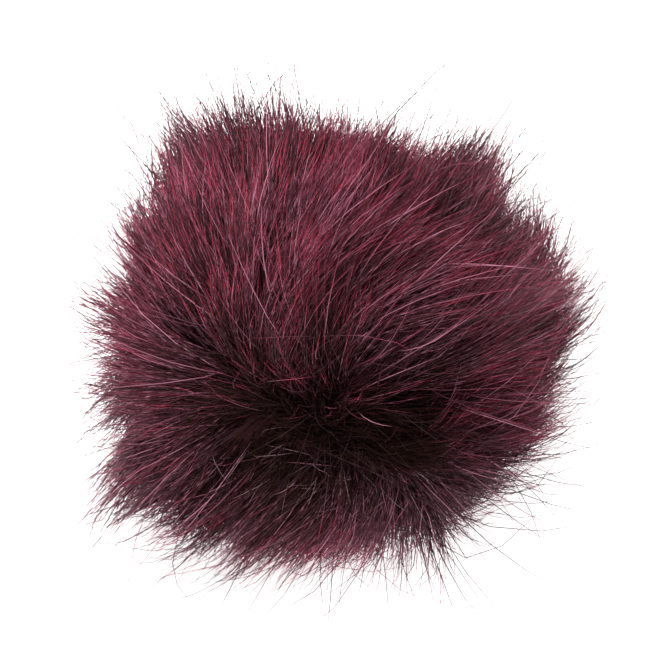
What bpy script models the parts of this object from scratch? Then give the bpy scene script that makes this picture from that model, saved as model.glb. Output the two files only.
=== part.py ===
"""Long-pile fur pom pom: a stuffed ball covered in locks of fur, resting on a small flat spot.

Metres, +Z up. The origin is on the floor, under the middle of the ball's bounding box.
The pile radiates from a parting, a short hollow on the front, and lies over the ball away from it.
Places on the ball are given round its front axis, which points forwards (-Y) and up: how far off
that axis, and on which clock angle round it, counted from the ball's right (+X) towards its top.
"""

import itertools
import math
import random

import bmesh
import bpy
import numpy as np
from mathutils import Vector

NAME = "fur_pom_pom"

# The stuffed ball under the pile
FRONT_ELEVATION_DEG = 60
BALL_RADIUS = 0.0505
BALL_CENTRE = Vector((-0.0006, -0.0084, 0.0455))
BALL_SUBDIVISIONS = 4
FLOOR_ROUNDING = 0.0030

# Broad swellings of the ball, and dips where the rise is negative:
# (name, degrees off the front axis, clock degrees, rise in metres, spread in degrees)
SWELLINGS = (
    ("upper left shoulder", 80, 126, 0.0072, 24),
    ("left side", 80, 178, 0.0015, 20),
    ("lower left shoulder", 82, 221, 0.0085, 20),
    ("right shoulder", 84, 2, 0.0012, 20),
    ("upper right dip", 70, 22, -0.0026, 14),
    ("crown", 26, 90, 0.0030, 30),
    ("right cheek", 42, 4, 0.0022, 22),
    ("top dip", 84, 80, -0.0066, 18),
    ("bottom dip", 78, 277, -0.0066, 20),
)

# Where the ball is drawn in, and the locks on it shorter:
# (name, from off and clock, to off and clock, depth in metres, spread in degrees, share of a
#  lock's length lost)
HOLLOWS = (
    ("parting", (39, 236), (41, 308), 0.0100, 16, 0.62),
    ("wedge above the parting", (18, 265), (12, 96), 0.0020, 8, 0.08),
    ("crease right of the parting", (38, 308), (55, 343), 0.0050, 8, 0.25),
    ("crease left of the parting", (40, 236), (70, 232), 0.0045, 9, 0.20),
    ("left furrow", (33, 176), (52, 141), 0.0030, 6, 0.10),
    ("left scallop", (70, 118), (52, 101), 0.0020, 8, 0.12),
    ("middle scallop", (54, 78), (53, 59), 0.0020, 8, 0.12),
    ("right scallop", (57, 48), (60, 30), 0.0020, 8, 0.12),
)

# The bent line that the pile lies away from: each bend's degrees off the front axis, and clock degrees
SOURCE = ((49, 230), (45, 276), (61, 298))

# Where the pile is combed aside from its way, anticlockwise where the turn is positive:
# (name, degrees off the front axis, clock degrees, turn in degrees, spread in degrees)
COMBED = (
    ("top left", 88, 117, 30, 26),
    ("top right", 86, 60, -60, 24),
    ("crown", 30, 78, -24, 18),
    ("right side", 45, 20, -38, 36),
    ("right of the wedge", 12, 333, -28, 12),
    ("left of the parting", 50, 206, 62, 17),
    ("left edge", 90, 190, 70, 22),
    ("under the lip", 64, 266, -38, 20),
)

# Where the locks' tips reach further, or less far where the share is negative:
# (name, degrees off the front axis, clock degrees, share of the length, spread in degrees)
LONGER_LOCKS = (
    ("upper left tuft", 90, 126, 0.42, 14),
    ("left edge", 90, 176, 0.16, 18),
    ("lower left tuft", 90, 226, 0.62, 15),
    ("bottom edge", 90, 264, -0.30, 13),
    ("lower right edge", 90, 318, -0.20, 13),
    ("right edge", 90, 12, 0.12, 12),
    ("upper right edge", 90, 32, -0.32, 12),
    ("top edge", 90, 80, -0.42, 12),
    ("left of the top", 90, 106, 0.36, 9),
)

# The locks of the pile. A lean is counted from upright on the ball.
LATTICE_PLACES = 306
LOCK_LENGTH = 0.0238
LOCK_LENGTH_VARIES = 0.10
LOCK_RADIUS = 0.0028
LOCK_ROOT_DEPTH = 0.0024
LOCK_STEPS = 3
LOCK_THICKNESS = (0.92, 1.0, 0.64, 0.0)
ROOT_LEAN_DEG = 47
TIP_LEAN_DEG = 67
PARTING_LEAN_DEG = 34
MEETING_LEAN_DEG = 20
MEETING_SPREAD_DEG = 40
LOCK_GAP = 0.0004
COMBING_TURNS_DEG = (0, 7, -7, 14, -14, 21, -21)
SHORTER_SHARES = (1.0, 0.85, 0.7)
SAMPLES_PER_STEP = 5
SEED = 4

# The locks under the ball, which the floor turns outwards and shortens
BARE_BELOW_DEG = 27
FLOOR_LOCKS_FROM_DEG = 66
FLOOR_LOCK_SHARE = 0.5
FLOOR_LEAN_DEG = 32
FLOOR_GAP = 0.0002

FUR_COLOUR = (0.112, 0.031, 0.047, 1.0)
FUR_ROUGHNESS = 0.62


def front_axes():
    """The ball's right, the way up its front, and its front axis."""
    rise = math.radians(FRONT_ELEVATION_DEG)
    front = Vector((0, -math.cos(rise), math.sin(rise)))
    up = Vector((0, math.sin(rise), math.cos(rise)))
    return Vector((1, 0, 0)), up, front


def on_front(off_deg, clock_deg):
    """The direction this far off the front axis, on this clock angle."""
    right, up, front = front_axes()
    off, clock = math.radians(off_deg), math.radians(clock_deg)
    sideways = right * math.cos(clock) + up * math.sin(clock)
    return front * math.cos(off) + sideways * math.sin(off)


def nearest_on_arc(direction, start, end):
    """The point of the arc from start to end that is nearest to a direction."""
    pole = start.cross(end).normalized()
    flat = (direction - pole * direction.dot(pole)).normalized()
    inside = start.cross(flat).dot(pole) >= 0 and flat.cross(end).dot(pole) >= 0
    if inside:
        return flat
    return start if direction.dot(start) > direction.dot(end) else end


def fall_off(angle, spread_deg):
    return math.exp(-((angle / math.radians(spread_deg)) ** 2))


def raised_by_floor(height):
    """A height pressed up by the floor: level on it, then rounded off into the ball."""
    if height <= -FLOOR_ROUNDING:
        return 0.0
    if height >= FLOOR_ROUNDING:
        return height
    return (height + FLOOR_ROUNDING) ** 2 / (4 * FLOOR_ROUNDING)


def on_ball(direction):
    """The point of the ball's surface in this direction from its centre."""
    radius = BALL_RADIUS
    for _name, off, clock, rise, spread in SWELLINGS:
        radius += rise * fall_off(direction.angle(on_front(off, clock)), spread)
    for _name, start, end, depth, spread, _shortening in HOLLOWS:
        nearest = nearest_on_arc(direction, on_front(*start), on_front(*end))
        radius -= depth * fall_off(direction.angle(nearest), spread)
    point = BALL_CENTRE + direction * radius
    point.z = raised_by_floor(point.z)
    return point


def turned(way, axis, angle):
    """A way along the ball, turned about its outward direction."""
    return way * math.cos(angle) + axis.cross(way) * math.sin(angle)


def nearest_sources(direction):
    """The nearest point of each stretch of the line that the pile lies away from."""
    bends = [on_front(*bend) for bend in SOURCE]
    return [nearest_on_arc(direction, start, end) for start, end in zip(bends, bends[1:])]


def combing(direction):
    """The way that the pile lies at this place, along the surface and away from the parting."""
    away = Vector((0, 0, 0))
    for nearest in nearest_sources(direction):
        apart = direction - nearest
        away += apart / max(apart.length, 0.001) ** 4
    away = (away - direction * away.dot(direction)).normalized()
    turn_deg = 0
    for _name, off, clock, turn, spread in COMBED:
        turn_deg += turn * fall_off(direction.angle(on_front(off, clock)), spread)
    return turned(away, direction, math.radians(turn_deg))


def hollowed(direction):
    """The share of a lock's length that the hollows take here."""
    lost = 0
    for _name, start, end, _depth, spread, shortening in HOLLOWS:
        nearest = nearest_on_arc(direction, on_front(*start), on_front(*end))
        lost = max(lost, shortening * fall_off(direction.angle(nearest), spread))
    return lost


def floor_share(direction):
    """How far the floor turns the pile here: 1 on the lowest locks, and 0 well above them."""
    below_deg = math.degrees(direction.angle(Vector((0, 0, -1))))
    risen = (below_deg - BARE_BELOW_DEG) / (FLOOR_LOCKS_FROM_DEG - BARE_BELOW_DEG)
    return 1 - min(1, max(0, risen))


def lying(direction):
    """The way that the pile lies at this place, with the floor turning it outwards under the ball."""
    outwards = Vector((direction.x, direction.y, 0)).normalized()
    outwards = (outwards - direction * outwards.dot(direction)).normalized()
    return combing(direction).lerp(outwards, floor_share(direction)).normalized()


def leaning(direction, along):
    """A lock's lean at a share of its length: less near the parting, the floor and the meeting."""
    meeting = -(on_front(*SOURCE[0]) + on_front(*SOURCE[-1])).normalized()
    by_parting = hollowed(direction) / HOLLOWS[0][5]
    by_meeting = fall_off(direction.angle(meeting), MEETING_SPREAD_DEG)
    lean_deg = ROOT_LEAN_DEG + (TIP_LEAN_DEG - ROOT_LEAN_DEG) * along
    lean_deg += (PARTING_LEAN_DEG - lean_deg) * by_parting * (1 - along)
    lean_deg += (MEETING_LEAN_DEG - lean_deg) * by_meeting
    lean_deg += (FLOOR_LEAN_DEG - lean_deg) * floor_share(direction)
    return math.radians(lean_deg)


def lattice(count):
    """Directions spread evenly over a sphere, on a spiral."""
    golden_turn = math.pi * (3 - math.sqrt(5))
    for index in range(count):
        height = 1 - (2 * index + 1) / count
        ring = math.sqrt(1 - height * height)
        turn = index * golden_turn
        yield Vector((ring * math.cos(turn), ring * math.sin(turn), height))


def shortened(direction):
    """The share of a lock's length that is left in the hollows and on the floor."""
    return (1 - hollowed(direction)) * (1 - (1 - FLOOR_LOCK_SHARE) * floor_share(direction))


def reaching(tip):
    """How much longer a lock is whose tip comes here."""
    share = 1
    for _name, off, clock, longer, spread in LONGER_LOCKS:
        share *= 1 + longer * fall_off((tip - BALL_CENTRE).angle(on_front(off, clock)), spread)
    return share


def lock_route(direction, length, turn_deg):
    """A lock's middle line and half thicknesses, from a little inside the ball to its tip."""
    step = (length + LOCK_ROOT_DEPTH) / LOCK_STEPS
    point = on_ball(direction) - direction * LOCK_ROOT_DEPTH
    route = []
    for index, share_of_radius in enumerate(LOCK_THICKNESS):
        radius = LOCK_RADIUS * share_of_radius
        if index > 0:
            place = (point - BALL_CENTRE).normalized()
            lies = turned(lying(place), place, math.radians(turn_deg))
            lean = leaning(direction, (index - 0.5) / LOCK_STEPS)
            point = point + (place * math.cos(lean) + lies * math.sin(lean)) * step
        point.z = max(point.z, radius + FLOOR_GAP)
        route.append((point.copy(), radius))
    return route


def along_route(route):
    """Places along a lock, a row for each: x, y, z and half thickness."""
    rows = []
    for (start, start_radius), (end, end_radius) in zip(route, route[1:]):
        for index in range(SAMPLES_PER_STEP + 1):
            share = index / SAMPLES_PER_STEP
            radius = start_radius + (end_radius - start_radius) * share
            rows.append((*start.lerp(end, share), radius))
    return np.array(rows)


def stands_clear(rows, other_rows):
    """Whether two locks keep their gap from each other all the way."""
    apart = np.linalg.norm(rows[:, None, :3] - other_rows[None, :, :3], axis=2)
    return bool(np.all(apart > rows[:, None, 3] + other_rows[None, :, 3] + LOCK_GAP))


def all_lock_routes():
    """The route of each lock. One that would cross another is combed aside, shortened or left out."""
    chance = random.Random(SEED)
    routes = []
    placed = []
    for direction in lattice(LATTICE_PLACES):
        length = LOCK_LENGTH * chance.uniform(1 - LOCK_LENGTH_VARIES, 1 + LOCK_LENGTH_VARIES)
        length *= shortened(direction)
        tip = lock_route(direction, length, 0)[-1][0]
        length *= reaching(tip)
        if direction.angle(Vector((0, 0, -1))) < math.radians(BARE_BELOW_DEG):
            continue
        for share, turn_deg in itertools.product(SHORTER_SHARES, COMBING_TURNS_DEG):
            route = lock_route(direction, length * share, turn_deg)
            rows = along_route(route)
            if all(stands_clear(rows, other) for other in placed):
                routes.append(route)
                placed.append(rows)
                break
    return routes


def fur_material():
    material = bpy.data.materials.new("burgundy_fur")
    material.use_nodes = True
    shader = material.node_tree.nodes["Principled BSDF"]
    shader.inputs["Base Color"].default_value = FUR_COLOUR
    shader.inputs["Roughness"].default_value = FUR_ROUGHNESS
    shader.inputs["Metallic"].default_value = 0.0
    return material


def make_ball(collection):
    """The stuffed ball, with its swellings, its parting and its flat spot."""
    mesh = bpy.data.meshes.new(NAME)
    shaped = bmesh.new()
    bmesh.ops.create_icosphere(shaped, subdivisions=BALL_SUBDIVISIONS, radius=1.0)
    for vertex in shaped.verts:
        vertex.co = on_ball(vertex.co.normalized())
    shaped.to_mesh(mesh)
    shaped.free()
    ball = bpy.data.objects.new(NAME, mesh)
    collection.objects.link(ball)
    return ball


def make_locks(collection):
    """Every lock of the pile as one mesh of four-sided tapering tubes."""
    curve = bpy.data.curves.new("locks_line", "CURVE")
    curve.dimensions = "3D"
    curve.bevel_depth = 1.0
    curve.bevel_resolution = 0
    curve.use_fill_caps = True
    for route in all_lock_routes():
        spline = curve.splines.new("POLY")
        spline.points.add(len(route) - 1)
        for place, (point, radius) in zip(spline.points, route):
            place.co = (*point, 1)
            place.radius = radius
    line = bpy.data.objects.new("locks_line", curve)
    collection.objects.link(line)
    bpy.context.view_layer.update()

    evaluated = line.evaluated_get(bpy.context.evaluated_depsgraph_get())
    mesh = bpy.data.meshes.new_from_object(evaluated)
    welded = bmesh.new()
    welded.from_mesh(mesh)
    bmesh.ops.remove_doubles(welded, verts=welded.verts, dist=0.00001)
    bmesh.ops.recalc_face_normals(welded, faces=welded.faces)
    welded.to_mesh(mesh)
    welded.free()

    locks = bpy.data.objects.new("locks", mesh)
    locks.matrix_world = line.matrix_world
    collection.objects.link(locks)
    bpy.data.objects.remove(line)
    locks.hide_render = True
    locks.display_type = "WIRE"
    return locks


def main():
    for old in list(bpy.data.objects):
        bpy.data.objects.remove(old, do_unlink=True)
    solids = bpy.data.collections.new("pom_pom")
    helpers = bpy.data.collections.new("helpers")
    for collection in (solids, helpers):
        bpy.context.scene.collection.children.link(collection)

    ball = make_ball(solids)
    ball.data.materials.append(fur_material())
    union = ball.modifiers.new("locks grow from the ball", "BOOLEAN")
    union.operation = "UNION"
    union.object = make_locks(helpers)
    ball.data.shade_flat()


main()
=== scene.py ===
"""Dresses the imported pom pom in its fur: a stuffed ball, the coats of its pile, guard hairs and strays.

Every hair is a closed, tapering, three-sided tube. Its route is worked out here, from where it grows on
the ball and which way the pile lies there, and one Geometry Nodes tree turns the routes into hairs.
Metres, +Z up, in the frame's own place: the ball's front is towards -Y.
"""
import math

import bmesh
import bpy
import numpy as np
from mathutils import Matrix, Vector


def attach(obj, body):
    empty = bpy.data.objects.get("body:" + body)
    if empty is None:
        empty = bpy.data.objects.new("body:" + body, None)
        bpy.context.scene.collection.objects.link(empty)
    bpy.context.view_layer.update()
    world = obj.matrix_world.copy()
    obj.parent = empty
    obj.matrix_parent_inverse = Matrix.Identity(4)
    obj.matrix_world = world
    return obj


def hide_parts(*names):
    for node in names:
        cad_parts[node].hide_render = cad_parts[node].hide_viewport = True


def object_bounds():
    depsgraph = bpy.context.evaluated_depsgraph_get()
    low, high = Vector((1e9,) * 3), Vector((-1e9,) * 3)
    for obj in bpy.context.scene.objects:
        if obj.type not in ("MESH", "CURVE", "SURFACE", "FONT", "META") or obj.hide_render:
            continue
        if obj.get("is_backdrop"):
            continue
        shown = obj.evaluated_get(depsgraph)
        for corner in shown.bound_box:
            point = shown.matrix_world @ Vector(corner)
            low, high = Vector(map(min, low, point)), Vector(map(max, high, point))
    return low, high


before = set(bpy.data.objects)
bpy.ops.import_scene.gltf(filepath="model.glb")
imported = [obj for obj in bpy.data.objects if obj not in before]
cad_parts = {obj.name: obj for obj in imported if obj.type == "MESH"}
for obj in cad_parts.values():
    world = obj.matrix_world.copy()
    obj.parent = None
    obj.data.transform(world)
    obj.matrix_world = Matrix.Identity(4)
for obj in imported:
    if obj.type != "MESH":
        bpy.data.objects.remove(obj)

bl_info = {
    "name": "Fur Pom Pom",
    "version": (1, 0, 0),
    "blender": (4, 5, 0),
    "location": "View3D > Sidebar > Pom Pom",
    "description": "Grows the long pile of a fur pom pom over its stuffed ball",
    "category": "Object",
}

CAD_LOW, CAD_HIGH = (np.array(corner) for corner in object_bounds())
NODE = "fur_pom_pom"
BODY = "root"

# The ball under the pile, as the solid has it. Places on it are given round its front axis:
# degrees off that axis, and a clock angle from the ball's right (+X) towards its top.
FRONT_ELEVATION = math.radians(60)
BALL_CENTRE = np.array((-0.0006, -0.0084, 0.0455))
BALL_RADIUS = 0.0505
FLOOR_ROUNDING = 0.0030

# (name, degrees off the front axis, clock degrees, rise in metres, spread in degrees)
SWELLINGS = (
    ("upper left shoulder", 80, 126, 0.0072, 24),
    ("left side", 80, 178, 0.0015, 20),
    ("lower left shoulder", 82, 221, 0.0085, 20),
    ("right shoulder", 84, 2, 0.0012, 20),
    ("upper right dip", 70, 22, -0.0026, 14),
    ("crown", 26, 90, 0.0030, 30),
    ("right cheek", 42, 4, 0.0022, 22),
    ("top dip", 84, 80, -0.0066, 18),
    ("bottom dip", 78, 277, -0.0066, 20),
)

# Where the ball is drawn in, and the pile on it short, upright and darkened with painted shade.
# One with no depth is only painted shade: (name, from off and clock, to off and clock, depth in metres,
#  spread in degrees, share of the pile's length lost, painted shade)
HOLLOWS = (
    ("parting", (39, 236), (41, 308), 0.0100, 16, 0.34, 0.75),
    ("wedge above the parting", (18, 265), (12, 96), 0.0020, 8, 0.08, 0.34),
    ("wedge to its left", (22, 232), (31, 160), 0.0, 7, 0.0, 0.14),
    ("crease right of the parting", (38, 308), (55, 343), 0.0050, 8, 0.25, 0.30),
    ("crease left of the parting", (40, 236), (70, 232), 0.0045, 9, 0.20, 0.22),
    ("left furrow", (33, 176), (52, 141), 0.0030, 6, 0.10, 0.18),
    ("left scallop", (66, 116), (56, 99), 0.0020, 9, 0.12, 0.42),
    ("middle scallop", (54, 78), (53, 62), 0.0020, 8, 0.12, 0.32),
    ("right scallop", (54, 44), (59, 28), 0.0020, 8, 0.12, 0.28),
    ("shade below the parting", (55, 246), (50, 278), 0.0, 7, 0.0, 0.22),
)

# The bent line that the pile lies away from: each bend's degrees off the front axis, and clock degrees.
# The nearer stretch turns the pile more, by this power of its nearness.
SOURCE = ((49, 230), (45, 276), (61, 298))
NEARNESS_POWER = 4
LEAST_APART = 0.001

# Where the pile is combed aside from its way, anticlockwise where the turn is positive:
# (name, degrees off the front axis, clock degrees, turn in degrees, spread in degrees)
COMBED = (
    ("top left", 88, 117, 30, 26),
    ("top right", 86, 60, -60, 24),
    ("crown", 30, 78, -24, 18),
    ("right side", 45, 20, -38, 36),
    ("right of the wedge", 12, 333, -28, 12),
    ("left of the parting", 50, 206, 62, 17),
    ("left edge", 90, 190, 70, 22),
    ("under the lip", 64, 266, -38, 20),
)

# Where the pile's tips reach further, or less far where the share is negative:
# (name, degrees off the front axis, clock degrees, share of the length, spread in degrees)
LONGER_PILE = (
    ("upper left tuft", 90, 127, 0.38, 11),
    ("left edge", 90, 168, 0.34, 9),
    ("lower left tuft", 90, 226, 0.44, 14),
    ("bottom edge", 90, 266, -0.26, 10),
    ("bottom tuft", 90, 291, 0.40, 9),
    ("lower right edge", 90, 324, -0.40, 15),
    ("right of the middle", 90, 0, -0.28, 8),
    ("right edge", 90, 15, 0.18, 8),
    ("upper right edge", 90, 32, -0.44, 10),
    ("upper right tuft", 90, 57, 0.30, 10),
    ("top edge", 90, 81, -0.56, 10),
    ("left of the top", 90, 101, 0.52, 10),
)

# How a hair grows, in steps from its root. A lean is counted from upright on the ball.
BACKING_DEPTH = 0.0060
ROOT_DEPTH = 0.0012
GROWTH_STEPS = 6
OUTER_STEP = 5
BENDS_EARLY = 0.7
LEAST_LEAN = math.radians(4)
MOST_LEAN = math.radians(90)
PARTING_LEAN = math.radians(8)
HOLLOW_WANDERS_DEG = 80
HOLLOW_STANDS = 1.5
LONGER_STANDS = math.radians(24)
LEAN_WANDERS = 0.7
WAVE_HEIGHT = 0.0007
WAVE_BENDS = 1.4
LENGTH_RANGE = (0.55, 1.5)
THICKNESS_VARIES = 0.16
THICKNESS_RANGE = (0.6, 1.5)
ROOT_JITTER_DEG = 50
TUFT_JITTER_DEG = 60
TUFT_SEED = 100

# How the pile stands up and shortens far from the line that it lies away from, and where it meets again:
# the angles from that line at which each begins, and over which it grows
BEHIND_FROM, BEHIND_OVER = math.radians(55), math.radians(105)
BEHIND_STANDS = math.radians(26)
MEETING_FROM, MEETING_OVER = math.radians(118), math.radians(40)
MEETING_STANDS = math.radians(20)
SHORTER_FROM, SHORTER_OVER = math.radians(50), math.radians(60)
BEHIND_SHORTENS = 0.24

# How the floor turns the lowest hairs outwards, and how far hairs may reach past the solid's box
BARE_BELOW_DEG = 18
FLOOR_TURNS_FROM_DEG = 46
FLOOR_SHORTENS = 0.55
FLOOR_LEAN_DEG = 44
FLOOR_LEAN_GROWS_DEG = 36
FLOOR_GAP = 0.0006
LOWEST_HAIR = 0.0005
PROUD = 0.0095
LEAST_REACH = 0.3

# A hair's tone runs from 0, dark, to just under 1, light, and is kept as a column of its map
TONE_COLUMNS = 64
LIGHTEST = 0.999
# How much of the hollows' painted shade is taken where a hair is rooted, and the painted shade at which
# hairs made lighter at random are no longer made lighter
ROOT_SHADE_SHARE = 0.6
BRIGHT_SHARE = 0.09
BRIGHTER = 0.5
DIMMED_FROM = 0.5
UV_NAME = "OFBake"

# The lights' distance from the ball, and the camera's aim, to the right of its middle and up its front
LIGHT_DISTANCE = 0.9
AIM_RIGHT = -0.0007
AIM_UP = 0.0033

# The coats of the pile, from the ball outwards. A lean is counted from upright on the ball:
# (name, hairs, sides' steps, length share, lean shift in degrees, thickness share, clumping,
#  wander in degrees, tone, tone's spread, seed)
COATS = (
    ("underfur", 7000, 2, 0.72, -6, 1.50, 0.55, 6, 0.20, 0.10, 11),
    ("inner_pile", 12400, 3, 0.88, -3, 1.05, 0.70, 4, 0.34, 0.13, 12),
    ("outer_pile", 12400, 3, 0.98, 0, 0.95, 0.66, 4, 0.41, 0.16, 13),
    ("top_pile", 9000, 4, 1.07, 3, 0.80, 0.56, 4, 0.46, 0.20, 14),
)
STANDING_PILE = ("standing_pile", 11300, 3, 0.93, -10, 0.80, 0.56, 4, 0.46, 0.16, 17)
GUARD_HAIRS = ("guard_hairs", 2600, 5, 1.12, -3, 0.66, 0.30, 8, 0.6, 0.28, 15)
STRAY_HAIRS = ("stray_hairs", 1700, 5, 1.36, -12, 0.66, 0.10, 20, 0.4, 0.3, 16)
LONG_STRAYS = ("long_strays", 700, 5, 1.85, -19, 0.76, 0.05, 30, 0.15, 0.3, 19)

# The light hairs that lie crosswise on the ridge below the parting, and where that ridge runs
CROSSING_HAIRS = ("crossing_hairs", 5400, 4, 0.46, 4, 0.66, 0.0, 60, 0.7, 0.2, 18)
CROSSED_RIDGE = ((66, 238), (52, 296))
CROSSED_SPREAD_DEG = 11

# The tufts that the pile gathers into: (name, tufts, pull, how late it pulls, lean spread in
# degrees, turn spread in degrees, tone spread, length spread)
TUFTS = (
    ("broad tufts", 80, 0.34, 1.5, 6.0, 9.0, 0.05, 0.05),
    ("locks", 430, 0.55, 1.6, 5.0, 8.0, 0.06, 0.10),
    ("wisps", 2600, 0.62, 1.3, 3.5, 4.0, 0.06, 0.07),
)


class FurSettings(bpy.types.PropertyGroup):
    """The pile's sizes and colours."""
    pile_length: bpy.props.FloatProperty(
        name="Pile length", description="Length of the outer pile's hairs",
        default=0.034, min=0.01, max=0.06, unit="LENGTH")
    length_varies: bpy.props.FloatProperty(
        name="Length varies", description="How much hairs differ in length, as a share of it",
        default=0.13, min=0, max=0.5, subtype="FACTOR")
    hair_thickness: bpy.props.FloatProperty(
        name="Hair thickness", description="Width of one modelled hair at its root",
        default=0.00028, min=0.0001, max=0.001, unit="LENGTH", precision=5)
    root_lean: bpy.props.FloatProperty(
        name="Root lean", description="How far a hair leans from upright at its root",
        default=math.radians(42), subtype="ANGLE")
    tip_lean: bpy.props.FloatProperty(
        name="Tip lean", description="How far a hair leans from upright at its tip",
        default=math.radians(76), subtype="ANGLE")
    root_colour: bpy.props.FloatVectorProperty(
        name="Root colour", description="Colour deep in the pile",
        default=(0.0215, 0.0102, 0.0080), subtype="COLOR")
    deep_colour: bpy.props.FloatVectorProperty(
        name="Deep colour", description="The darkest hairs",
        default=(0.054, 0.012, 0.018), subtype="COLOR")
    pile_colour: bpy.props.FloatVectorProperty(
        name="Pile colour", description="The middling hairs",
        default=(0.150, 0.026, 0.048), subtype="COLOR")
    # The tips' colours are painted light: the light that shines through the pile's tips, and more brightly
    # in crimson through the standing hairs' tips round the edge.
    tip_colour: bpy.props.FloatVectorProperty(
        name="Tip colour", description="The tips of the pile's hairs, where light shines through them",
        default=(0.400, 0.044, 0.096), subtype="COLOR")
    crimson_glow_colour: bpy.props.FloatVectorProperty(
        name="Crimson colour", description="The standing hairs' tips, which show round the edge",
        default=(0.660, 0.052, 0.112), subtype="COLOR")
    # The lightest hairs' colour, which is also painted along the pile's hairs as glints
    light_and_glint_colour: bpy.props.FloatVectorProperty(
        name="Light colour", description="The lightest hairs",
        default=(0.500, 0.200, 0.285), subtype="COLOR")
    pale_colour: bpy.props.FloatVectorProperty(
        name="Pale colour", description="The light hairs that lie crosswise below the parting",
        default=(0.400, 0.270, 0.285), subtype="COLOR")
    guard_colour: bpy.props.FloatVectorProperty(
        name="Guard hair tips", description="The dark tips of the guard hairs",
        default=(0.034, 0.015, 0.018), subtype="COLOR")


class StageSettings(bpy.types.PropertyGroup):
    """The floor, the lights and the camera."""
    camera_elevation: bpy.props.FloatProperty(
        name="Camera elevation", description="How far the camera looks down",
        default=math.radians(60), subtype="ANGLE")
    camera_distance: bpy.props.FloatProperty(
        name="Camera distance", description="From the camera to the middle of the ball",
        default=0.85, unit="LENGTH")
    frame_width: bpy.props.FloatProperty(
        name="Frame width", description="What the picture's width spans at the ball",
        default=0.1769, unit="LENGTH")
    key_power: bpy.props.FloatProperty(
        name="Key light", description="The soft light above and behind the ball",
        default=10.0, unit="POWER")
    fill_power: bpy.props.FloatProperty(
        name="Fill light", description="The weak light from the left",
        default=3.5, unit="POWER")
    room_light: bpy.props.FloatProperty(
        name="Room light", description="Strength of the pale light all round",
        default=0.80, min=0)


# ---------------------------------------------------------------- the ball and how its pile lies

def unit(vectors):
    return vectors / np.linalg.norm(vectors, axis=-1, keepdims=True)


def front_axes():
    """The ball's right, the way up its front, and its front axis."""
    front = np.array((0, -math.cos(FRONT_ELEVATION), math.sin(FRONT_ELEVATION)))
    up = np.array((0, math.sin(FRONT_ELEVATION), math.cos(FRONT_ELEVATION)))
    return np.array((1.0, 0, 0)), up, front


def on_front(off_deg, clock_deg):
    """The direction this far off the front axis, on this clock angle."""
    right, up, front = front_axes()
    off, clock = math.radians(off_deg), math.radians(clock_deg)
    sideways = right * math.cos(clock) + up * math.sin(clock)
    return front * math.cos(off) + sideways * math.sin(off)


def angle_to(directions, other):
    return np.arccos(np.clip((directions * other).sum(-1), -1, 1))


def nearest_on_arc(directions, start, end):
    """For each direction, the point of the arc from start to end that is nearest to it."""
    pole = unit(np.cross(start, end))
    flat = unit(directions - np.outer(directions @ pole, pole))
    inside = (np.cross(start, flat) @ pole >= 0) & (np.cross(flat, end) @ pole >= 0)
    nearer_start = (directions @ start > directions @ end)[:, None]
    ends = np.where(nearer_start, start, end)
    return np.where(inside[:, None], flat, ends)


def fall_off(angle, spread_deg):
    return np.exp(-((angle / math.radians(spread_deg)) ** 2))


def level_fall_off(angle, spread_deg):
    """Like the other, but level in the middle and steeper at its edge."""
    return np.exp(-((angle / math.radians(spread_deg)) ** 4))


def raised_by_floor(height, rounding=FLOOR_ROUNDING):
    """A height pressed up by the floor: level on it, then rounded off."""
    bent = (height + rounding) ** 2 / (4 * rounding)
    return np.where(height <= -rounding, 0.0, np.where(height >= rounding, height, bent))


def on_ball(directions):
    """The points of the backing cloth, a little inside the solid ball, in these directions."""
    radius = np.full(len(directions), BALL_RADIUS - BACKING_DEPTH)
    for _name, off, clock, rise, spread in SWELLINGS:
        radius += rise * fall_off(angle_to(directions, on_front(off, clock)), spread)
    for _name, start, end, depth, spread, _shortening, _shade_painted in HOLLOWS:
        nearest = nearest_on_arc(directions, on_front(*start), on_front(*end))
        radius -= depth * fall_off(angle_to(directions, nearest), spread)
    points = BALL_CENTRE + directions * radius[:, None]
    points[:, 2] = raised_by_floor(points[:, 2])
    return points


def nearest_sources(directions):
    """For each direction, the nearest point of each stretch of the line that the pile lies away from."""
    bends = [on_front(*bend) for bend in SOURCE]
    return [nearest_on_arc(directions, start, end) for start, end in zip(bends, bends[1:])]


def angle_to_source(directions):
    return np.min([angle_to(directions, nearest) for nearest in nearest_sources(directions)], axis=0)


def floor_share(directions):
    """How far the floor turns the pile: 1 on the lowest hairs, and 0 well above them."""
    below_deg = np.degrees(angle_to(directions, np.array((0, 0, -1.0))))
    risen = (below_deg - BARE_BELOW_DEG) / (FLOOR_TURNS_FROM_DEG - BARE_BELOW_DEG)
    return 1 - np.clip(risen, 0, 1)


def in_hollows(directions):
    """How much the hollows shorten the pile in each direction, and how much shade they paint on it."""
    shorter = np.zeros(len(directions))
    painted_shade = np.zeros(len(directions))
    for _name, start, end, _depth, spread, shortening, shade_painted in HOLLOWS:
        nearest = nearest_on_arc(directions, on_front(*start), on_front(*end))
        inside = level_fall_off(angle_to(directions, nearest), spread)
        shorter = np.maximum(shorter, shortening * inside)
        painted_shade = np.maximum(painted_shade, shade_painted * inside)
    return shorter, painted_shade


def uprightness(directions):
    """How upright the pile stands in the hollows, where it is shorter: 0 where it lies as elsewhere."""
    shorter, _painted_shade = in_hollows(directions)
    return (shorter * HOLLOW_STANDS).clip(0, 1)


def turned(ways, axes, angles):
    """Ways along the ball, turned about its outward directions."""
    return ways * np.cos(angles)[:, None] + np.cross(axes, ways) * np.sin(angles)[:, None]


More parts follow.
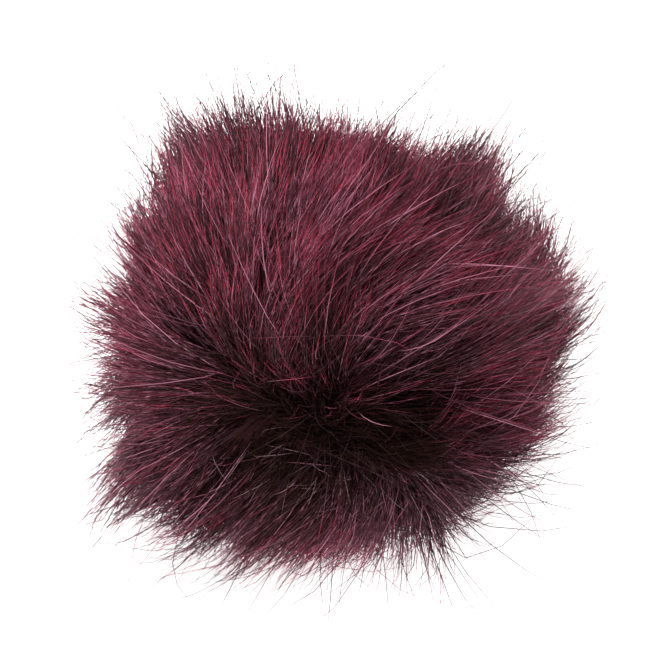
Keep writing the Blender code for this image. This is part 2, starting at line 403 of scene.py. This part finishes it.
def lying(directions):
    """The way that the pile lies along the ball: away from the parting, and outwards on the floor."""
    away = np.zeros_like(directions)
    for nearest in nearest_sources(directions):
        apart = directions - nearest
        away += apart / np.linalg.norm(apart, axis=-1, keepdims=True).clip(LEAST_APART) ** NEARNESS_POWER
    away = unit(away - directions * (away * directions).sum(-1, keepdims=True))
    combed = np.zeros(len(directions))
    for _name, off, clock, turn_deg, spread in COMBED:
        combed += math.radians(turn_deg) * fall_off(angle_to(directions, on_front(off, clock)), spread)
    away = turned(away, directions, combed)
    outwards = directions * np.array((1, 1, 0))
    outwards = unit(outwards - directions * (outwards * directions).sum(-1, keepdims=True))
    low = floor_share(directions)[:, None]
    return unit(away * (1 - low) + outwards * low)


def even_directions(count, jitter_deg, chance):
    """Directions spread evenly over the ball, bare only where it presses on the floor."""
    bare = (1 - math.cos(math.radians(BARE_BELOW_DEG))) / 2
    height = 1 - (2 * np.arange(count) + 1) / count * (1 - bare)
    ring = np.sqrt(1 - height ** 2)
    turn = np.arange(count) * math.pi * (3 - math.sqrt(5))
    directions = np.stack((ring * np.cos(turn), ring * np.sin(turn), height), axis=1)
    return unit(directions + chance.normal(0, math.radians(jitter_deg), directions.shape))


# ---------------------------------------------------------------- the routes of the hairs

def grow(roots, length, lean_shift, turn, fur):
    """The routes of hairs: an array of hairs, places along each, and x, y, z."""
    source_angle = angle_to_source(roots)
    behind = np.clip((source_angle - BEHIND_FROM) / BEHIND_OVER, 0, 1)
    meeting = np.clip((source_angle - MEETING_FROM) / MEETING_OVER, 0, 1)
    upright = uprightness(roots)
    low = floor_share(roots)
    step = length / GROWTH_STEPS
    point = on_ball(roots) - roots * ROOT_DEPTH
    route = [point]
    for index in range(GROWTH_STEPS):
        along = (index + 0.5) / GROWTH_STEPS
        lean = fur.root_lean + (fur.tip_lean - fur.root_lean) * along ** BENDS_EARLY
        lean = lean - BEHIND_STANDS * behind * (0.4 + 0.6 * along)
        lean = lean - MEETING_STANDS * meeting
        lean = lean - (lean - PARTING_LEAN) * upright
        lean = lean * (1 - low) + math.radians(FLOOR_LEAN_DEG + FLOOR_LEAN_GROWS_DEG * along) * low
        lean = np.clip(lean + lean_shift, LEAST_LEAN, MOST_LEAN)[:, None]
        place = unit(point - BALL_CENTRE)
        lies = lying(place)
        lies = turned(lies, place, turn)
        point = point + (place * np.cos(lean) + lies * np.sin(lean)) * step[:, None]
        point[:, 2] = raised_by_floor(point[:, 2] - FLOOR_GAP) + FLOOR_GAP
        route.append(point)
    return np.stack(route, axis=1)


def nearest_index(directions, centres, block=4000):
    """For each direction, the number of the nearest centre."""
    return np.concatenate([
        np.argmax(directions[at:at + block] @ centres.T, axis=1)
        for at in range(0, len(directions), block)])


def tuft_table():
    """For each kind of tuft, where its tufts grow and what each does to its hairs."""
    table = []
    for number, (_name, count, pull, late, lean_deg, turn_deg, tone, uneven) in enumerate(TUFTS):
        chance = np.random.default_rng(TUFT_SEED + number)
        table.append({
            "centres": even_directions(count, TUFT_JITTER_DEG / math.sqrt(count), chance),
            "pull": pull,
            "late": late,
            "lean": chance.normal(0, math.radians(lean_deg), count),
            "turn": chance.normal(0, math.radians(turn_deg), count),
            "tone": chance.normal(0, tone, count),
            "length": 1 + chance.normal(0, uneven, count),
        })
    return table


def comb(coat, fur, ridge=None):
    """The routes, thicknesses and tones of one coat's hairs, all over the ball or only on a ridge."""
    _name, count, _steps, length_share, shift_deg, thickness, clumping, wander, tone, spread, seed = coat
    chance = np.random.default_rng(seed)
    roots = even_directions(count, ROOT_JITTER_DEG / math.sqrt(count), chance)
    if ridge:
        nearest = nearest_on_arc(roots, on_front(*ridge[0]), on_front(*ridge[1]))
        roots = roots[fall_off(angle_to(roots, nearest), CROSSED_SPREAD_DEG) > chance.random(count)]
        count = len(roots)
    behind = np.clip((angle_to_source(roots) - SHORTER_FROM) / SHORTER_OVER, 0, 1)
    length = fur.pile_length * length_share * (1 - BEHIND_SHORTENS * behind)
    shorter, painted_shade = in_hollows(roots)
    length = length * (1 - FLOOR_SHORTENS * floor_share(roots)) * (1 - shorter)
    length = length * (1 + chance.normal(0, fur.length_varies, count)).clip(*LENGTH_RANGE)
    lean = chance.normal(0, math.radians(wander * LEAN_WANDERS), count) + math.radians(shift_deg)
    turn = chance.normal(0, 1, count) * np.radians(wander + HOLLOW_WANDERS_DEG * shorter)
    tones = tone + chance.normal(0, spread, count)
    tufts = tuft_table()
    owners = [nearest_index(roots, kind["centres"]) for kind in tufts]
    for kind, owner in zip(tufts, owners):
        lean = lean + kind["lean"][owner]
        turn = turn + kind["turn"][owner]
        tones = tones + kind["tone"][owner]
        length = length * kind["length"][owner]
    tips = unit(grow(roots, length, lean, turn, fur)[:, -1] - BALL_CENTRE)
    for _place, off, clock, share, spread_deg in LONGER_PILE:
        longer = share * fall_off(angle_to(tips, on_front(off, clock)), spread_deg)
        length = length * (1 + longer)
        lean = lean - LONGER_STANDS * longer
    routes = grow(roots, length, lean, turn, fur)

    along = np.linspace(0, 1, GROWTH_STEPS + 1)[None, :, None]
    for kind, owner in zip(tufts, owners):
        guide_roots = kind["centres"][owner]
        guides = grow(guide_roots, length, lean, turn, fur)
        pull = clumping * kind["pull"] * along ** kind["late"]
        routes = routes + (guides - routes) * pull
    sideways = unit(np.cross(routes[:, -1] - routes[:, 0], roots))
    wave = chance.normal(0, WAVE_HEIGHT, count)[:, None, None] * np.sin(math.pi * WAVE_BENDS * along)
    routes = within_reach(routes + sideways[:, None, :] * wave)
    # The hollows' painted shade darkens each hair's tone, taken at its root and further out along it; the
    # crossing hairs get none. Hairs made lighter at random are made less light, or not at all, where shade
    # is painted.
    _shorter, painted_shade_outside = in_hollows(unit(routes[:, OUTER_STEP] - BALL_CENTRE))
    if not ridge:
        tones = tones - np.maximum(painted_shade * ROOT_SHADE_SHARE, painted_shade_outside)
    brighter = BRIGHTER * (1 - painted_shade_outside / DIMMED_FROM).clip(0)
    tones = np.where(chance.random(count) < BRIGHT_SHARE, tones + brighter, tones)
    uneven = (1 + chance.normal(0, THICKNESS_VARIES, count)).clip(*THICKNESS_RANGE)
    return routes, fur.hair_thickness * thickness * uneven, tones.clip(0, LIGHTEST)


def within_reach(routes):
    """Draws in the hairs that would stand too far out of the solid's box, and lifts them off the floor."""
    root = routes[:, :1]
    reach = routes - root
    room = np.where(reach > 0, CAD_HIGH + PROUD - root, root - CAD_LOW + PROUD)
    share = (room / np.abs(reach).clip(1e-6)).min(axis=(1, 2)).clip(LEAST_REACH, 1)
    routes = root + reach * share[:, None, None]
    routes[:, :, 2] = routes[:, :, 2].clip(LOWEST_HAIR)
    return routes


def bend_handles(routes):
    """Two handles for each hair, so that one cubic curve passes through four places of its route."""
    first, second, third, last = (routes[:, at] for at in (0, 2, 4, 6))
    near_root = (-5 * first + 18 * second - 9 * third + 2 * last) / 6
    near_tip = (2 * first - 9 * second + 18 * third - 5 * last) / 6
    for handle in (near_root, near_tip):
        handle[:, 2] = handle[:, 2].clip(LOWEST_HAIR)
    return near_root, near_tip


# ---------------------------------------------------------------- building node trees

class Wire:
    """An output of a node, which numbers and other outputs can be added to or multiplied with."""

    def __init__(self, nodes, socket):
        self.nodes = nodes
        self.socket = socket
        self.is_vector = socket.type == "VECTOR"

    def __add__(self, other):
        return self.nodes.sum_of("ADD", self, other)

    def __radd__(self, other):
        return self.nodes.sum_of("ADD", other, self)

    def __sub__(self, other):
        return self.nodes.sum_of("SUBTRACT", self, other)

    def __rsub__(self, other):
        return self.nodes.sum_of("SUBTRACT", other, self)

    def __mul__(self, other):
        return self.nodes.sum_of("MULTIPLY", self, other)

    def __rmul__(self, other):
        return self.nodes.sum_of("MULTIPLY", other, self)

    def __truediv__(self, other):
        return self.nodes.sum_of("DIVIDE", self, other)


class Nodes:
    """One node tree, and the ways of adding to it."""

    def __init__(self, tree):
        self.tree = tree
        tree.nodes.clear()

    def add(self, kind, settings=None, inputs=None, output=0):
        """A new node: its settings first, then its sockets by identifier. Gives one of its outputs."""
        node = self.tree.nodes.new(kind)
        for name, value in (settings or {}).items():
            if name == "stops":
                self.set_stops(node.color_ramp, value)
            else:
                setattr(node, name, value)
        for identifier, value in (inputs or {}).items():
            socket = next(s for s in node.inputs if s.identifier == identifier)
            if isinstance(value, Wire):
                self.tree.links.new(value.socket, socket)
            else:
                socket.default_value = value
        return Wire(self, node.outputs[output]) if len(node.outputs) else node

    @staticmethod
    def set_stops(ramp, stops):
        while len(ramp.elements) < len(stops):
            ramp.elements.new(0.5)
        for element, (place, colour) in zip(ramp.elements, stops):
            element.position = place
            element.color = (*colour, 1)

    def sum_of(self, operation, one, other):
        """The sum, difference, product or quotient of two values, of which either may be a vector."""
        vectors = [isinstance(value, Wire) and value.is_vector for value in (one, other)]
        if not any(vectors):
            values = {"Value": one, "Value_001": other}
            return self.add("ShaderNodeMath", {"operation": operation}, values)
        if operation == "MULTIPLY" and not all(vectors):
            vector, number = (one, other) if vectors[0] else (other, one)
            values = {"Vector": vector, "Scale": number}
            return self.add("ShaderNodeVectorMath", {"operation": "SCALE"}, values)
        values = {"Vector": one, "Vector_001": other}
        return self.add("ShaderNodeVectorMath", {"operation": operation}, values)

    def parts(self, vector):
        """The x, y and z of a vector."""
        x = self.add("ShaderNodeSeparateXYZ", inputs={"Vector": vector})
        return [Wire(self, socket) for socket in x.socket.node.outputs]

    def vector(self, x, y, z):
        return self.add("ShaderNodeCombineXYZ", inputs={"X": x, "Y": y, "Z": z})

    def blend(self, factor, one, other):
        """A colour between two colours."""
        return self.add(
            "ShaderNodeMix", {"data_type": "RGBA"},
            {"Factor_Float": factor, "A_Color": one, "B_Color": other}, output=2)

    def ramp(self, value, stops):
        return self.add("ShaderNodeValToRGB", {"stops": stops}, {"Fac": value})


def stored(nodes, name, kind="FLOAT"):
    """A value kept on each hair."""
    return nodes.add("GeometryNodeInputNamedAttribute", {"data_type": kind}, {"Name": name})


def keep(nodes, geometry, name, kind, domain, value):
    """The geometry with a value kept on it under a name."""
    return nodes.add(
        "GeometryNodeStoreNamedAttribute", {"data_type": kind, "domain": domain},
        {"Geometry": geometry, "Name": name, "Value": value})


def hair_tree():
    """Geometry Nodes that stand a tapering tube on each root and bend it along its hair's curve."""
    tree = bpy.data.node_groups.new("hairs_from_roots", "GeometryNodeTree")
    nodes = Nodes(tree)
    for name, kind, default in (
            ("Roots", "NodeSocketGeometry", None),
            ("Sides", "NodeSocketInt", 3),
            ("Steps", "NodeSocketInt", 4),
            ("Fullness", "NodeSocketFloat", 1.2),
            ("Tone columns", "NodeSocketInt", TONE_COLUMNS),
            ("Material", "NodeSocketMaterial", None)):
        socket = tree.interface.new_socket(name, in_out="INPUT", socket_type=kind)
        if default is not None:
            socket.default_value = default
    tree.interface.new_socket("Hairs", in_out="OUTPUT", socket_type="NodeSocketGeometry")
    entry = nodes.add("NodeGroupInput")
    given = {socket.name: Wire(nodes, socket) for socket in entry.socket.node.outputs if socket.name}

    tube = nodes.add("GeometryNodeMeshCone", inputs={
        "Vertices": given["Sides"], "Side Segments": given["Steps"],
        "Radius Top": 0.0, "Radius Bottom": 1.0, "Depth": 1.0})
    tube = keep(nodes, tube, "tube", "FLOAT_VECTOR", "POINT", nodes.add("GeometryNodeInputPosition"))
    hairs = nodes.add("GeometryNodeInstanceOnPoints", inputs={"Points": given["Roots"], "Instance": tube})
    hairs = nodes.add("GeometryNodeRealizeInstances", inputs={"Geometry": hairs})

    across_tube, around_tube, along = nodes.parts(stored(nodes, "tube", "FLOAT_VECTOR"))
    back = 1 - along
    root, near_root, near_tip, tip, side = (
        stored(nodes, name, "FLOAT_VECTOR") for name in ("root", "near_root", "near_tip", "tip", "side"))
    middle = (root * (back * back * back) + near_root * (3 * back * back * along)
              + near_tip * (3 * back * along * along) + tip * (along * along * along))
    heading = ((near_root - root) * (back * back) + (near_tip - near_root) * (2 * back * along)
               + (tip - near_tip) * (along * along))
    other = nodes.add("ShaderNodeVectorMath", {"operation": "CROSS_PRODUCT"},
                      {"Vector": heading, "Vector_001": side})
    other = nodes.add("ShaderNodeVectorMath", {"operation": "NORMALIZE"}, {"Vector": other})
    half = stored(nodes, "half_width") * (1 + given["Fullness"] * along)
    place = middle + (side * across_tube + other * around_tube) * half
    hairs = nodes.add("GeometryNodeSetPosition", inputs={"Geometry": hairs, "Position": place})

    columns = given["Tone columns"]
    column = nodes.add("ShaderNodeMath", {"operation": "FLOOR"}, {"Value": stored(nodes, "tone") * columns})
    around = 0.5 + 0.4 * (around_tube / back)
    u = (column + around) / columns
    v = 0.01 + 0.97 * along + 0.004 * across_tube
    hairs = keep(nodes, hairs, UV_NAME, "FLOAT2", "CORNER", nodes.vector(u, v, 0.0))
    hairs = nodes.add("GeometryNodeSetShadeSmooth", inputs={"Geometry": hairs})
    hairs = nodes.add("GeometryNodeRealizeInstances", inputs={"Geometry": hairs})
    hairs = nodes.add("GeometryNodeSetMaterial", inputs={"Geometry": hairs, "Material": given["Material"]})
    nodes.add("NodeGroupOutput", inputs={tree.interface.items_tree["Hairs"].identifier: hairs})
    return tree


# ---------------------------------------------------------------- materials

def new_material(name):
    material = bpy.data.materials.new(name)
    material.use_nodes = True
    return material, Nodes(material.node_tree)


def surface(nodes, colour, roughness, constants):
    """A Principled surface: what varies comes as wires, and constants sit on its own sockets."""
    inputs = {"Base Color": colour, "Roughness": roughness, **constants}
    return nodes.add("ShaderNodeBsdfPrincipled", inputs=inputs)


def finish_material(nodes, colour, roughness, constants):
    shader = surface(nodes, colour, roughness, constants)
    nodes.add("ShaderNodeOutputMaterial", inputs={"Surface": shader})


def hair_place(nodes):
    """A hair's tone, and how far along it a point is, both read from its own map."""
    spot = nodes.add("ShaderNodeUVMap", {"uv_map": UV_NAME})
    u, v, _w = nodes.parts(spot)
    return u, v


def pile_material(name, fur, tip_colour, tip_from):
    """Hairs that go from near-black roots through wine to their tips' colour, with painted glints along
    them and darker stretches between.
    """
    material, nodes = new_material(name)
    tone, along = hair_place(nodes)
    lit = nodes.ramp(tone, (
        (0.0, fur.root_colour), (0.16, fur.deep_colour), (0.5, fur.pile_colour), (0.78, fur.pile_colour),
        (1.0, fur.light_and_glint_colour)))
    depth = nodes.ramp(along, (
        (0.0, (0, 0, 0)), (0.36, (0.08, 0.08, 0.08)), (0.68, (0.85, 0.85, 0.85)), (1.0, (1, 1, 1))))
    colour = nodes.blend(depth, (*fur.root_colour, 1), lit)
    shine = nodes.ramp(tone, ((0.0, (0, 0, 0)), (0.08, (0, 0, 0)), (0.34, (1, 1, 1))))
    # A noise along each hair that is not dark paints glints of the light colour on it, standing in for its
    # highlights, and darker stretches of the deep colour between them.
    uneven = nodes.add("ShaderNodeTexNoise", inputs={
        "Vector": nodes.vector(150 * tone, 13 * along, 0.0), "Scale": 1.0, "Detail": 2.0})
    dim = nodes.ramp(uneven, (
        (0.0, (1, 1, 1)), (0.36, (0.65, 0.65, 0.65)), (0.50, (0.1, 0.1, 0.1)), (0.6, (0, 0, 0))))
    painted_glint = nodes.ramp(uneven, ((0.0, (0, 0, 0)), (0.51, (0, 0, 0)), (0.67, (0.6, 0.6, 0.6))))
    colour = nodes.blend(dim * shine, colour, (*fur.deep_colour, 1))
    colour = nodes.blend(painted_glint * shine, colour, (*fur.light_and_glint_colour, 1))
    # The tips are painted in the tip colour: on the pile and the standing pile this is painted light
    # shining through the hairs, on the crossing hairs their pale colour.
    glow = nodes.ramp(along, (
        (0.0, (0, 0, 0)), (tip_from, (0, 0, 0)), (tip_from + 0.2, (0.85, 0.85, 0.85)), (1.0, (1, 1, 1))))
    reddened = nodes.ramp(tone, (
        (0.0, fur.root_colour), (0.08, fur.root_colour), (0.30, tip_colour), (0.8, tip_colour),
        (1.0, fur.light_and_glint_colour)))
    colour = nodes.blend(glow, colour, reddened)
    dull = surface(nodes, colour, 0.9, {"Specular IOR Level": 0.0})
    shiny = surface(nodes, colour, 0.42 - 0.10 * along, {"Specular IOR Level": 0.09})
    mixed = nodes.add("ShaderNodeMixShader", inputs={
        "Fac": shine * (1 - 0.8 * glow), "Shader": dull, "Shader_001": shiny})
    nodes.add("ShaderNodeOutputMaterial", inputs={"Surface": mixed})
    return material


def guard_material(fur):
    """Guard hairs and strays, whose tips are dark, wine or light by their tone."""
    material, nodes = new_material("guard_hair")
    tone, along = hair_place(nodes)
    shaft = nodes.ramp(tone, (
        (0.0, fur.guard_colour), (0.45, fur.deep_colour), (1.0, fur.light_and_glint_colour)))
    outer = nodes.ramp(along, (
        (0.0, (0, 0, 0)), (0.55, (0, 0, 0)), (0.80, (0.9, 0.9, 0.9)), (1.0, (1, 1, 1))))
    # Mid-tone tips take the tip colour, painted light shining through them.
    tip = nodes.ramp(tone, (
        (0.0, fur.guard_colour), (0.42, fur.guard_colour), (0.54, fur.tip_colour),
        (0.82, fur.tip_colour), (1.0, fur.light_and_glint_colour)))
    colour = nodes.blend(outer, shaft, tip)
    finish_material(nodes, colour, 0.36 + 0.06 * along, {"Specular IOR Level": 0.10})
    return material


def backing_material(fur):
    """The pile's roots as they show deep between the hairs."""
    material, nodes = new_material("pile_roots")
    spot = nodes.add("ShaderNodeTexCoord", output=3)
    fine = nodes.add("ShaderNodeTexNoise", inputs={"Vector": spot, "Scale": 900.0, "Detail": 3.0})
    colour = nodes.blend(fine, (*fur.root_colour, 1), (*fur.deep_colour, 1))
    roughness = 0.8 + 0.1 * fine
    finish_material(nodes, colour, roughness, {"Specular IOR Level": 0.05})
    return material


# ---------------------------------------------------------------- pieces

def settle(piece):
    """Ties a finished piece to the frame: it rides on the body and stands for the solid."""
    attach(piece, BODY)
    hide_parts(NODE)


def add_object(name, mesh):
    piece = bpy.data.objects.new(name, mesh)
    bpy.context.scene.collection.objects.link(piece)
    return piece


def roots_mesh(name, coat, fur, ridge):
    """A mesh of loose points, one for each hair's root, with the hair's curve kept on it."""
    routes, widths, tones = comb(coat, fur, ridge)
    near_root, near_tip = bend_handles(routes)
    root, tip = routes[:, 0], routes[:, -1]
    outward = unit(root - BALL_CENTRE)
    side = unit(np.cross(tip - root, outward))
    mesh = bpy.data.meshes.new(name)
    mesh.vertices.add(len(root))
    mesh.vertices.foreach_set("co", root.astype(np.float32).ravel())
    for label, values in (
            ("root", root), ("near_root", near_root), ("near_tip", near_tip), ("tip", tip), ("side", side)):
        kept = mesh.attributes.new(label, "FLOAT_VECTOR", "POINT")
        kept.data.foreach_set("vector", values.astype(np.float32).ravel())
    for label, values in (("half_width", widths / 2), ("tone", tones)):
        kept = mesh.attributes.new(label, "FLOAT", "POINT")
        kept.data.foreach_set("value", values.astype(np.float32))
    return mesh


def grow_hairs(coat, material, fur, fullness, ridge=None):
    """One coat as a plain mesh of hairs."""
    name, _count, steps = coat[:3]
    tree = bpy.data.node_groups.get("hairs_from_roots") or hair_tree()
    piece = add_object(name, roots_mesh(name + "_roots", coat, fur, ridge))
    modifier = piece.modifiers.new("hairs", "NODES")
    modifier.node_group = tree
    sockets = {item.name: item.identifier for item in tree.interface.items_tree}
    modifier[sockets["Sides"]] = 3
    modifier[sockets["Steps"]] = steps
    modifier[sockets["Fullness"]] = fullness
    modifier[sockets["Tone columns"]] = TONE_COLUMNS
    modifier[sockets["Material"]] = material
    bpy.context.view_layer.update()
    evaluated = piece.evaluated_get(bpy.context.evaluated_depsgraph_get())
    mesh = bpy.data.meshes.new_from_object(evaluated)
    mesh.name = name
    piece.modifiers.remove(modifier)
    loose_roots = piece.data
    piece.data = mesh
    bpy.data.meshes.remove(loose_roots)
    for label in ("tube", "root", "near_root", "near_tip", "tip", "side", "half_width", "tone"):
        mesh.attributes.remove(mesh.attributes[label])
    settle(piece)
    return piece


class PomPomOperator(bpy.types.Operator):
    """What the pom pom's operators share."""
    bl_options = {"REGISTER", "UNDO"}


class POMPOM_OT_ball(PomPomOperator):
    """Makes the stuffed ball that the pile grows from"""
    bl_idname = "pompom.ball"
    bl_label = "Stuffed Ball"

    def execute(self, context):
        mesh = bpy.data.meshes.new("stuffed_ball")
        shaped = bmesh.new()
        bmesh.ops.create_icosphere(shaped, subdivisions=5, radius=1.0)
        shaped.verts.ensure_lookup_table()
        directions = unit(np.array([vertex.co[:] for vertex in shaped.verts]))
        for vertex, point in zip(shaped.verts, on_ball(directions)):
            vertex.co = point
        shaped.to_mesh(mesh)
        shaped.free()
        mesh.shade_smooth()
        mesh.materials.append(backing_material(context.scene.pompom_fur))
        ball = add_object("stuffed_ball", mesh)
        settle(ball)
        return {"FINISHED"}


class POMPOM_OT_coats(PomPomOperator):
    """Grows the coats of the pile, from the underfur outwards, and the standing pile"""
    bl_idname = "pompom.coats"
    bl_label = "Coats of Pile"

    def execute(self, context):
        fur = context.scene.pompom_fur
        # Both pile materials paint the light that shines through the hairs' tips, the standing pile's
        # brightly in crimson.
        wine = pile_material("burgundy_pile", fur, fur.tip_colour, 0.78)
        for coat in COATS:
            grow_hairs(coat, wine, fur, fullness=1.9)
        glow_tipped_pile = pile_material("crimson_glow_tips", fur, fur.crimson_glow_colour, 0.70)
        grow_hairs(STANDING_PILE, glow_tipped_pile, fur, fullness=1.9)
        return {"FINISHED"}


class POMPOM_OT_guard_hairs(PomPomOperator):
    """Grows the guard hairs, the strays that stand out of the pile, and the hairs that cross the ridge"""
    bl_idname = "pompom.guard_hairs"
    bl_label = "Guard Hairs and Strays"

    def execute(self, context):
        fur = context.scene.pompom_fur
        material = guard_material(fur)
        for coat in (GUARD_HAIRS, STRAY_HAIRS, LONG_STRAYS):
            grow_hairs(coat, material, fur, fullness=2.2)
        light = pile_material("light_hairs", fur, fur.pale_colour, 0.25)
        grow_hairs(CROSSING_HAIRS, light, fur, fullness=1.6, ridge=CROSSED_RIDGE)
        return {"FINISHED"}


class POMPOM_OT_stage(PomPomOperator):
    """Sets the pale floor, the soft lights and the camera"""
    bl_idname = "pompom.stage"
    bl_label = "Floor, Lights and Camera"

    def execute(self, context):
        stage = context.scene.pompom_stage
        make_floor()
        make_room(stage)
        make_lights(stage)
        make_camera(stage)
        return {"FINISHED"}


def make_floor():
    mesh = bpy.data.meshes.new("floor")
    level = bmesh.new()
    bmesh.ops.create_grid(level, x_segments=1, y_segments=1, size=3.0)
    level.to_mesh(mesh)
    level.free()
    material, nodes = new_material("pale_floor")
    finish_material(nodes, (0.86, 0.86, 0.86, 1), 0.6, {
        "Specular IOR Level": 0.2, "Emission Color": (1, 1, 1, 1), "Emission Strength": 0.85})
    mesh.materials.append(material)
    floor = add_object("floor", mesh)
    floor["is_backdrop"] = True


def make_room(stage):
    world = bpy.data.worlds.new("pale_room")
    world.use_nodes = True
    nodes = Nodes(world.node_tree)
    sky = nodes.add("ShaderNodeBackground", inputs={"Color": (1, 1, 1, 1), "Strength": stage.room_light})
    nodes.add("ShaderNodeOutputWorld", inputs={"Surface": sky})
    bpy.context.scene.world = world
    bpy.context.scene.view_settings.view_transform = "Standard"


def make_lights(stage):
    right, up, front = front_axes()
    for name, power, size, way in (
            ("key_light", stage.key_power, 0.7, up * 0.66 + front * 0.70 - right * 0.12),
            ("fill_light", stage.fill_power, 0.9, front * 0.7 - right * 0.9 + up * 0.1)):
        lamp = bpy.data.lights.new(name, "AREA")
        lamp.energy = power
        lamp.size = size
        light = bpy.data.objects.new(name, lamp)
        bpy.context.scene.collection.objects.link(light)
        light.location = BALL_CENTRE + unit(way) * LIGHT_DISTANCE
        light.rotation_euler = Vector(way).to_track_quat("Z", "Y").to_euler()


def make_camera(stage):
    lens = bpy.data.cameras.new("camera")
    lens.sensor_width = 36.0
    lens.lens = lens.sensor_width * stage.camera_distance / stage.frame_width
    camera = bpy.data.objects.new("camera", lens)
    bpy.context.scene.collection.objects.link(camera)
    rise = stage.camera_elevation
    back = Vector((0, -math.cos(rise), math.sin(rise)))
    right, up, _front = front_axes()
    aim = BALL_CENTRE + right * AIM_RIGHT + up * AIM_UP
    camera.location = Vector(aim) + back * stage.camera_distance
    camera.rotation_euler = back.to_track_quat("Z", "Y").to_euler()
    bpy.context.scene.camera = camera


class POMPOM_PT_panel(bpy.types.Panel):
    """Lists the pom pom's sizes, colours and steps"""
    bl_idname = "POMPOM_PT_panel"
    bl_label = "Fur Pom Pom"
    bl_space_type = "VIEW_3D"
    bl_region_type = "UI"
    bl_category = "Pom Pom"

    def draw(self, context):
        layout = self.layout
        for settings in (context.scene.pompom_fur, context.scene.pompom_stage):
            box = layout.box()
            for name in settings.__annotations__:
                box.prop(settings, name)
        for operator in OPERATORS:
            layout.operator(operator.bl_idname)


SETTINGS = (FurSettings, StageSettings)
OPERATORS = (POMPOM_OT_stage, POMPOM_OT_ball, POMPOM_OT_coats, POMPOM_OT_guard_hairs)


def register():
    for kind in (*SETTINGS, *OPERATORS, POMPOM_PT_panel):
        bpy.utils.register_class(kind)
    bpy.types.Scene.pompom_fur = bpy.props.PointerProperty(type=FurSettings)
    bpy.types.Scene.pompom_stage = bpy.props.PointerProperty(type=StageSettings)


def unregister():
    del bpy.types.Scene.pompom_stage
    del bpy.types.Scene.pompom_fur
    for kind in reversed((*SETTINGS, *OPERATORS, POMPOM_PT_panel)):
        bpy.utils.unregister_class(kind)


def main():
    register()
    bpy.ops.pompom.stage()
    bpy.ops.pompom.ball()
    bpy.ops.pompom.coats()
    bpy.ops.pompom.guard_hairs()


if __name__ == "__main__":
    main()
